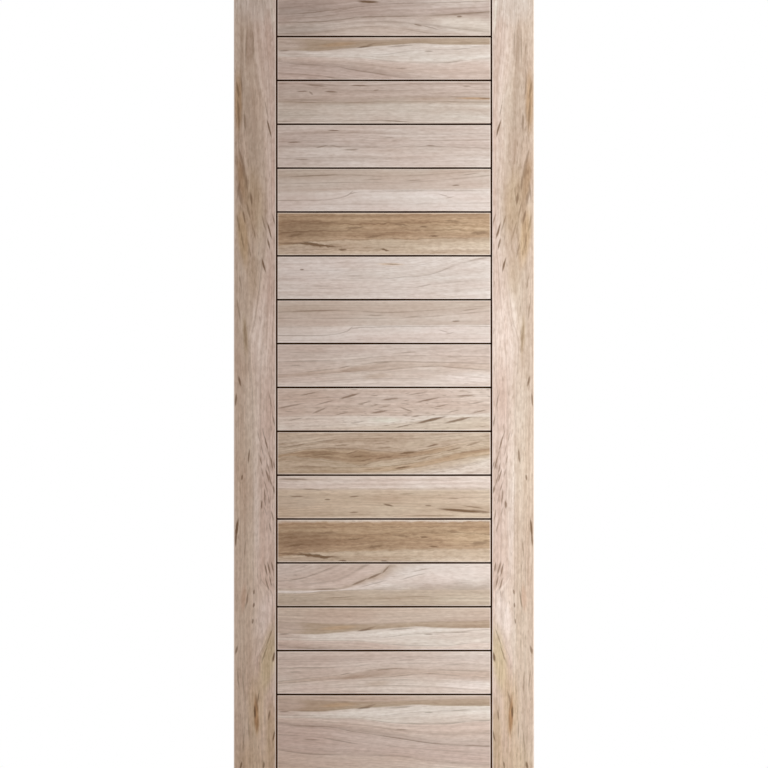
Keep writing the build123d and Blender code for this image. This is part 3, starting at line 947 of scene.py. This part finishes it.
stileFigure = {
    "lines": [
        (-20, 0.0, 3, [(0, -18), (1200, -20), (2440, -16)]),
        (28, 0.26, 2.5, [(0, 22), (250, 25), (450, 20), (600, 34), (900, 22), (1200, 24), (1800, 26),
            (2440, 28)]),
        (60, 0.19, 2.5, [(0, 56), (85, 60), (170, 64), (260, 76), (350, 92), (450, 90), (600, 98),
            (720, 98), (850, 84), (1000, 62), (1070, 46), (1200, 54), (1400, 58), (1700, 60), (1900, 60),
            (2044, 62), (2440, 64)]),
        (80, 0.29, 2, [(0, 88), (300, 110), (600, 116), (850, 106), (1000, 94), (1200, 82), (1500, 84),
            (1700, 78), (1780, 80), (1835, 118), (1917, 118), (1980, 94), (2044, 70), (2120, 72),
            (2440, 82)]),
        (108, 0.22, 2.5, [(0, 112), (300, 124), (600, 128), (1000, 118), (1400, 110), (1760, 112),
            (1840, 130), (1917, 128), (2044, 104), (2440, 108)]),
        (150, 0.0, 3, [(0, 150), (1200, 152), (2440, 150)]),
    ],
    "tones": [
        (-20, "#d1bcab"), (20, "#d2beac"), (50, "#d4c1af"), (59, "#d9c7b7"), (62, "#e0cebf"),
        (76, "#e0cdc0"), (84, "#dcc6b8"), (108, "#dcc7ba"), (150, "#e0cdc0"),
    ],
    "patches": [
        (20, 60, 200, 200, 0, "#ddcfc3", 0.95), (420, 55, 560, 66, 6, "#c7b3a1", 0.9),
        (160, 50, 200, 30, 2, "#bba694", 0.7), (330, 14, 260, 34, 0, "#c0a17f", 0.85),
        (570, 24, 220, 40, 8, "#b3977a", 0.9), (640, 60, 300, 90, 4, "#c6af94", 0.8),
        (740, 28, 260, 50, 6, "#c6aa88", 0.85), (860, 60, 200, 50, 0, "#ccb8a1", 0.6),
        (1040, 84, 340, 100, 2, "#ecdbcf", 0.85), (1040, 34, 160, 20, 3, "#c3ad92", 0.8),
        (1240, 50, 300, 60, 0, "#e0cfc0", 0.6), (1480, 98, 560, 46, 2, "#dec9bd", 0.7),
        (1600, 68, 420, 22, 1, "#e6d7cc", 0.7), (1500, 20, 520, 44, 0, "#d3bca7", 0.5),
        (1885, 94, 200, 64, -14, "#e9d9cf", 0.9), (1840, 30, 120, 22, -4, "#cdae98", 0.7),
        (2035, 104, 300, 66, -8, "#d3c0a1", 0.95), (2180, 70, 300, 70, 0, "#d4bda0", 0.8),
        (2200, 69, 170, 20, 2, "#b68f68", 0.9), (2360, 60, 260, 150, 0, "#d3bca2", 0.8),
        (60, 118, 160, 16, 4, "#e8ddd0", 0.8), (2270, 112, 340, 56, 0, "#cbb397", 0.85),
    ],
    "marks": [
        (150, 60, 90, 4, 1, 0.4), (165, 38, 120, 4, -1, 0.4), (167, 25, 40, 4, 2, 0.4),
        (293, 12, 60, 6, 8, 0.6), (370, 15, 120, 6, 3, 0.58), (390, 34, 60, 6, 2, 0.58),
        (280, 25, 70, 4, 4, 0.51), (410, 108, 60, 5, 14, 0.87), (350, 100, 60, 3, 12, 0.43),
        (539, 29, 60, 9, 6, 0.5), (500, 22, 60, 6, 12, 0.55), (575, 38, 60, 6, 6, 0.55),
        (596, 14, 60, 7, -6, 0.5), (620, 20, 60, 8, 10, 0.5), (625, 52, 44, 6, 8, 0.72),
        (660, 44, 60, 5, 14, 0.5), (679, 31, 46, 5, 10, 0.7), (721, 108, 58, 5, 16, 0.87),
        (762, 105, 40, 5, 12, 0.8), (700, 92, 60, 4, 14, 0.51), (826, 90, 50, 5, 14, 0.87),
        (754, 27, 60, 5, 10, 0.5), (700, 14, 60, 6, 12, 0.5), (720, 60, 60, 4, 14, 0.4),
        (690, 122, 50, 4, 14, 0.58), (780, 48, 60, 4, 12, 0.4), (965, 15, 70, 5, 8, 0.45),
        (880, 20, 50, 4, 8, 0.42), (1042, 35, 90, 6, 4, 0.42), (1180, 17, 34, 6, 12, 0.8),
        (1237, 6, 44, 5, -6, 0.72), (1300, 122, 40, 4, 12, 0.58), (1240, 112, 50, 3.5, 10, 0.51),
        (1367, 100, 54, 4.5, 15, 0.75), (1428, 116, 48, 4.5, 12, 0.72), (1468, 104, 46, 4.5, 16, 0.7),
        (1446, 106, 40, 4, 14, 0.58), (1480, 112, 46, 4, 14, 0.58), (1510, 122, 30, 5, 10, 0.72),
        (1534, 96, 60, 4, 2, 0.72), (1556, 85, 28, 5, -4, 0.8), (1590, 118, 34, 4, 14, 0.58),
        (1624, 110, 34, 4, 14, 0.51), (1390, 88, 40, 3.5, 14, 0.45), (1340, 92, 40, 3.5, 12, 0.45),
        (1350, 77, 34, 3.5, 12, 0.45), (1420, 83, 36, 3.5, 14, 0.5), (1458, 88, 32, 3.5, 14, 0.45),
        (1500, 98, 34, 3.5, 14, 0.5), (1436, 124, 26, 4, 12, 0.6), (1542, 108, 34, 3.5, 12, 0.45),
        (1402, 108, 30, 3.5, 14, 0.45), (1576, 96, 30, 3.5, 12, 0.4), (1745, 117, 32, 5, 10, 0.72),
        (1750, 106, 46, 5, 14, 0.72), (1755, 97, 44, 4.5, 12, 0.72), (1790, 112, 38, 4, 14, 0.65),
        (1798, 100, 44, 4.5, 16, 0.65), (1408, 45, 50, 5, -6, 0.72), (1473, 24, 20, 5, -8, 0.8),
        (1628, 9, 64, 7, -6, 0.95), (1660, 6, 50, 5, -4, 0.87), (1690, 34, 60, 4, -3, 0.43),
        (1822, 61, 18, 5, -6, 0.72), (1862, 60, 18, 5, -6, 0.8), (1911, 57, 18, 5, -6, 0.72),
        (1845, 40, 60, 5, -8, 0.58), (1998, 8, 28, 6, -14, 0.72), (2020, 122, 34, 6, -10, 0.94),
        (1960, 108, 70, 4, -20, 0.51), (2010, 94, 60, 4, -18, 0.51), (2187, 65, 44, 6, 0, 0.95),
        (2160, 70, 60, 5, 6, 0.45), (2225, 72, 60, 5, -6, 0.35), (2145, 74, 50, 4, -10, 0.58),
        (2197, 108, 34, 5, -6, 0.72), (2261, 121, 38, 5, -12, 0.8), (2350, 22, 26, 6, -8, 0.8),
        (2350, 90, 26, 5, -6, 0.72), (2280, 30, 80, 4, -4, 0.43), (2100, 30, 80, 4, 2, 0.43),
        (2090, 14, 60, 4, 6, 0.51), (2240, 46, 60, 4, 2, 0.43),
    ],
    "zones": [
        (620, 40, 520, 110, 6, 0.6), (1500, 108, 460, 40, 0, 0.6), (1790, 110, 160, 36, -10, 0.6),
        (330, 16, 420, 40, 2, 0.4),
    ],
    "ripple": 5.0,
    "sway": 8.0,
    "curl": 3.0,
    "growth": 1.2,
    "mottle": 1.8,
    "fleck": 0.7,
    "fleckTilt": 13,
}
# Each board: its figure, and how far up that figure its low edge lies
levelBoards = {
    "top_rail": (topFigure, 0),
    "plank_01": (wedgeFigure, 0),
    "plank_02": (doubleLineFigure, 0),
    "plank_03": (quietFigure, 0),
    "plank_04": (paleFanFigure, 0),
    "plank_05": (heartFigure, 0),
    "plank_06": (plainPaleFigure, 0),
    "plank_07": (paleFanFigure, 11),
    "plank_08": (lensFigure, 0),
    "plank_09": (fleckedFigure, 0),
    "plank_10": (eyesFigure, 0),
    "plank_11": (tanFigure, 0),
    "plank_12": (heartFigure, 11),
    "plank_13": (archFigure, 0),
    "plank_14": (wedgeFigure, 40),
    "plank_15": (lensFigure, 0),
    "bottom_rail": (wedgeFigure, -163.2),
}
stiles = {"hinge_stile": 0.9, "lock_stile": 0.6}  # and how strong the painted highlight along the margin of each is
heartPlanks = ("plank_05", "plank_10", "plank_12")
bottomTenons = tenonHeights("bottom_rail", "high")
topTenons = tenonHeights("top_rail", "low")
toMm = 1000  # the figures are in millimetres
fullThickness = thickness * toMm
shadeFade = sandedMaple["shadeFade"]

for seed, (node, (figure, shift)) in enumerate(levelBoards.items()):
    low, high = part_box(node)
    length = (openingHigh - openingLow) * toMm
    height = (high.z - low.z) * toMm
    kerf = joinery["kerfWidth"] * toMm
    place = {
        "start": (-openingLow * toMm, fullThickness / 2, -low.z * toMm),
        "turn": (0, 0, 0),
        "scale": (toMm, toMm, toMm),
        "middle": (length / 2, fullThickness / 2, height / 2),
        "half": (length / 2 - kerf, fullThickness / 2, height / 2),
        "grain": (1, 0, 0),
        "highlightShare": sandedMaple["highlightShare"],
        "unshadedEnds": 0.0,  # their ends stand in the kerfs, so they take the painted shade
        "shift": shift,
        # where the painted shade on the boards' sides starts, and how far it takes to come in
        "shadeFrom": {"top_rail": height - shadeFade, "bottom_rail": shadeFade}.get(node, -height),
        "shadeWay": -shadeFade if node == "top_rail" else shadeFade,
    }
    start, step = joinery["levelPhase"]
    tenons = {"top_rail": topTenons, "bottom_rail": bottomTenons}.get(node, [])
    slotName = "rail_maple" if tenons else "heartwood_plank" if node in heartPlanks else "sapwood_plank"
    grooved = (node != "bottom_rail", node != "top_rail")
    piece = levelBoard("maple_" + node, node, slotName, *grooved, tenons, start + step * seed)
    piece.data.materials.append(mapleMaterial("sandedMaple_" + node, figure, place, seed + 1))
print("level boards made:", len(levelBoards))

firstStileSeed = 31
for number, (node, highlightShare) in enumerate(stiles.items()):
    low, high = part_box(node)
    hinged = node == "hinge_stile"
    half = ((high.z - low.z) * toMm / 2, fullThickness / 2, (high.x - low.x) * toMm / 2)
    place = {
        "start": (high.z * toMm, fullThickness / 2, -low.x * toMm if hinged else high.x * toMm),
        "turn": (0, math.radians(-90), 0),
        "scale": (toMm if hinged else -toMm, toMm, toMm),
        "middle": half,
        "half": half,
        "grain": (0, 0, 1),
        "highlightShare": highlightShare,
        "unshadedEnds": 1.0,
        "shift": 0,
        "shadeFrom": shadeFade,
        "shadeWay": shadeFade,
    }
    start, step = joinery["stilePhase"]
    mortises = bottomTenons + topTenons
    piece = standingBoard("maple_" + node, node, mortises, start + step * number)
    seed = firstStileSeed + number
    piece.data.materials.append(mapleMaterial("sandedMaple_" + node, stileFigure, place, seed))
print("stiles made:", len(stiles))

# Dark stained hardwood: the same wood as strips, stained near black, so that it only shows as a dark line
darkSpline = {
    "stain": "#3a200d",
    "worn": "#624020",
    "wornRange": (0.35, 0.7),
    "fibre": (40, 2, 1.5, 3.0),  # its length, its size through and across in millimetres, its detail
    "ior": 1.5,
    "gloss": 0.03,
    "roughness": (0.5, 0.68),
    "finishRange": (0.3, 0.7),
    "bumpDepth": 0.0001,
    "bumpStrength": 0.4,
}
stained = bpy.data.materials.new("darkStainedHardwood")
stained.use_nodes = True
tree = stained.node_tree
tree.nodes.clear()
point = addNode(tree, "TexCoord").outputs["Object"]
length, through, across, detail = darkSpline["fibre"]
scale = (toMm / length, toMm / through, toMm / across)
point = addNode(tree, "Mapping", {"Vector": point, "Scale": scale})
fibre = addNode(tree, "TexNoise", {"Vector": point, "Scale": 1.0, "Detail": detail})
stops = [(at, linearColour(darkSpline[key])) for at, key in zip(darkSpline["wornRange"], ("stain", "worn"))]
colour = addNode(tree, "ValToRGB", {"Fac": fibre}, marks=stops)
dull, matt = darkSpline["roughness"]
low, top = darkSpline["finishRange"]
roughness = {"Value": fibre, "From Min": low, "From Max": top, "To Min": dull, "To Max": matt}
roughness = addNode(tree, "MapRange", roughness)
bump = {"Height": fibre, "Distance": darkSpline["bumpDepth"], "Strength": darkSpline["bumpStrength"]}
finish = {"Base Color": colour, "Roughness": roughness, "Normal": addNode(tree, "Bump", bump)}
finish |= {"IOR": darkSpline["ior"], "Specular IOR Level": darkSpline["gloss"]}
shader = addNode(tree, "BsdfPrincipled", finish)
addNode(tree, "OutputMaterial", {"Surface": shader})
for number in range(1, plankCount + 2):
    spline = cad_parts[f"spline_{number:02d}"]
    for slot in spline.material_slots:
        slot.material = stained
print("splines stained:", plankCount + 1)

# The light: a tall cool softbox on the right, a wide one behind the door, and a soft warm fill
lighting = {
    "keyPlace": (1.87, -1.18, 1.42),
    "keyAim": (0.60, 0.0, 1.38),
    "keySize": (0.9, 4.0),
    "keyWatts": 54.0,
    "keyColour": "#f8feff",
    "backPlace": (-1.10, 2.30, 1.70),
    "backAim": (0.45, 0.0, 1.20),
    "backSize": (1.6, 2.4),
    "backWatts": 75.0,
    "backColour": "#fffaf4",
    "fillColour": "#ffdfd4",
    "fillStrength": 0.24,
}


# An area light at a place, turned to face a point.
def softbox(name, place, aim, size, watts, hexCode):
    data = bpy.data.lights.new(name, "AREA")
    data.shape = "RECTANGLE"
    data.size, data.size_y = size
    data.energy = watts
    data.color = linearColour(hexCode)[:3]
    lamp = bpy.data.objects.new(name, data)
    bpy.context.scene.collection.objects.link(lamp)
    lamp.location = place
    lamp.rotation_euler = (Vector(aim) - Vector(place)).to_track_quat("-Z", "Y").to_euler()
    lamp.visible_camera = False


for part in ("key", "back"):
    words = ("Place", "Aim", "Size", "Watts", "Colour")
    softbox(part + "Softbox", *(lighting[part + word] for word in words))

# The floor: a pale matt disc, mostly in front of the door, that fades out towards its rim
paleFloor = {
    "colour": "#f1efec",
    "middle": (0.457, -0.7, 0),
    "drop": 0.0005,  # below the door's foot
    "radius": 1.25,
    "innerShare": 0.5,  # the inner ring of points, as a share of the radius
    "fadeShare": 0.25,  # where it starts to fade, as a share of the radius
    "points": 96,
}
rim = np.linspace(0, 2 * np.pi, paleFloor["points"], endpoint=False)
circle = np.stack([np.cos(rim), np.sin(rim), np.zeros(len(rim))], axis=-1)
lowered = np.subtract(paleFloor["middle"], (0, 0, paleFloor["drop"]))
rings = [lowered + circle * paleFloor["radius"] * share for share in (1, paleFloor["innerShare"])]
ring = np.arange(len(rim))
nextOne = np.roll(ring, -1)
floorFaces = np.stack([ring, nextOne, nextOne + len(rim), ring + len(rim)], axis=-1).tolist()
floorFaces.append((ring + len(rim)).tolist())
floorMesh = bpy.data.meshes.new("paleFloor")
floorMesh.from_pydata(np.concatenate(rings).tolist(), [], floorFaces)
floor = bpy.data.objects.new("paleFloor", floorMesh)
bpy.context.scene.collection.objects.link(floor)
floorMaterial = bpy.data.materials.new("mattFloorPaint")
floorMaterial.use_nodes = True
tree = floorMaterial.node_tree
tree.nodes.clear()
point = addNode(tree, "TexCoord").outputs["Object"]
reach = addNode(tree, "VectorMath", {0: point, 1: paleFloor["middle"]}, operation="DISTANCE")
fade = {"From Min": paleFloor["radius"] * paleFloor["fadeShare"], "From Max": paleFloor["radius"]}
fade = addNode(tree, "MapRange", {"Value": reach, **fade}, interpolation_type="SMOOTHSTEP")
paint = addNode(tree, "BsdfDiffuse", {"Color": linearColour(paleFloor["colour"])})
mixed = addNode(tree, "MixShader", {0: fade, 1: paint, 2: addNode(tree, "BsdfTransparent")})
addNode(tree, "OutputMaterial", {"Surface": mixed})
floorMesh.materials.append(floorMaterial)

# The world: white to the camera, and the soft warm fill to everything else
world = bpy.data.worlds.new("paleStudio")
bpy.context.scene.world = world
world.use_nodes = True
tree = world.node_tree
tree.nodes.clear()
cameraRay = addNode(tree, "LightPath").outputs["Is Camera Ray"]
fill = {"Color": linearColour(lighting["fillColour"]), "Strength": lighting["fillStrength"]}
fill = addNode(tree, "Background", fill)
white = addNode(tree, "Background", {"Color": (1, 1, 1, 1), "Strength": 1.0})
seen = addNode(tree, "MixShader", {0: cameraRay, 1: fill, 2: white})
addNode(tree, "OutputWorld", {"Surface": seen})

# The camera stands square on, at the height of the photograph's middle
camera = {"distance": 8.0, "height": 1.2498, "frameHeight": 2.339, "sensor": 36.0}  # metres, sensor in mm
lens = bpy.data.cameras.new("photoLens")
lens.sensor_width = camera["sensor"]
lens.lens = camera["sensor"] * camera["distance"] / camera["frameHeight"]
photoCamera = bpy.data.objects.new("photoCamera", lens)
bpy.context.scene.collection.objects.link(photoCamera)
photoCamera.location = ((cadLow.x + cadHigh.x) / 2, faceDepth - camera["distance"], camera["height"])
photoCamera.rotation_euler = (math.radians(90), 0, 0)
bpy.context.scene.camera = photoCamera
bpy.context.scene.view_settings.view_transform = "Standard"
print("lights and camera set")
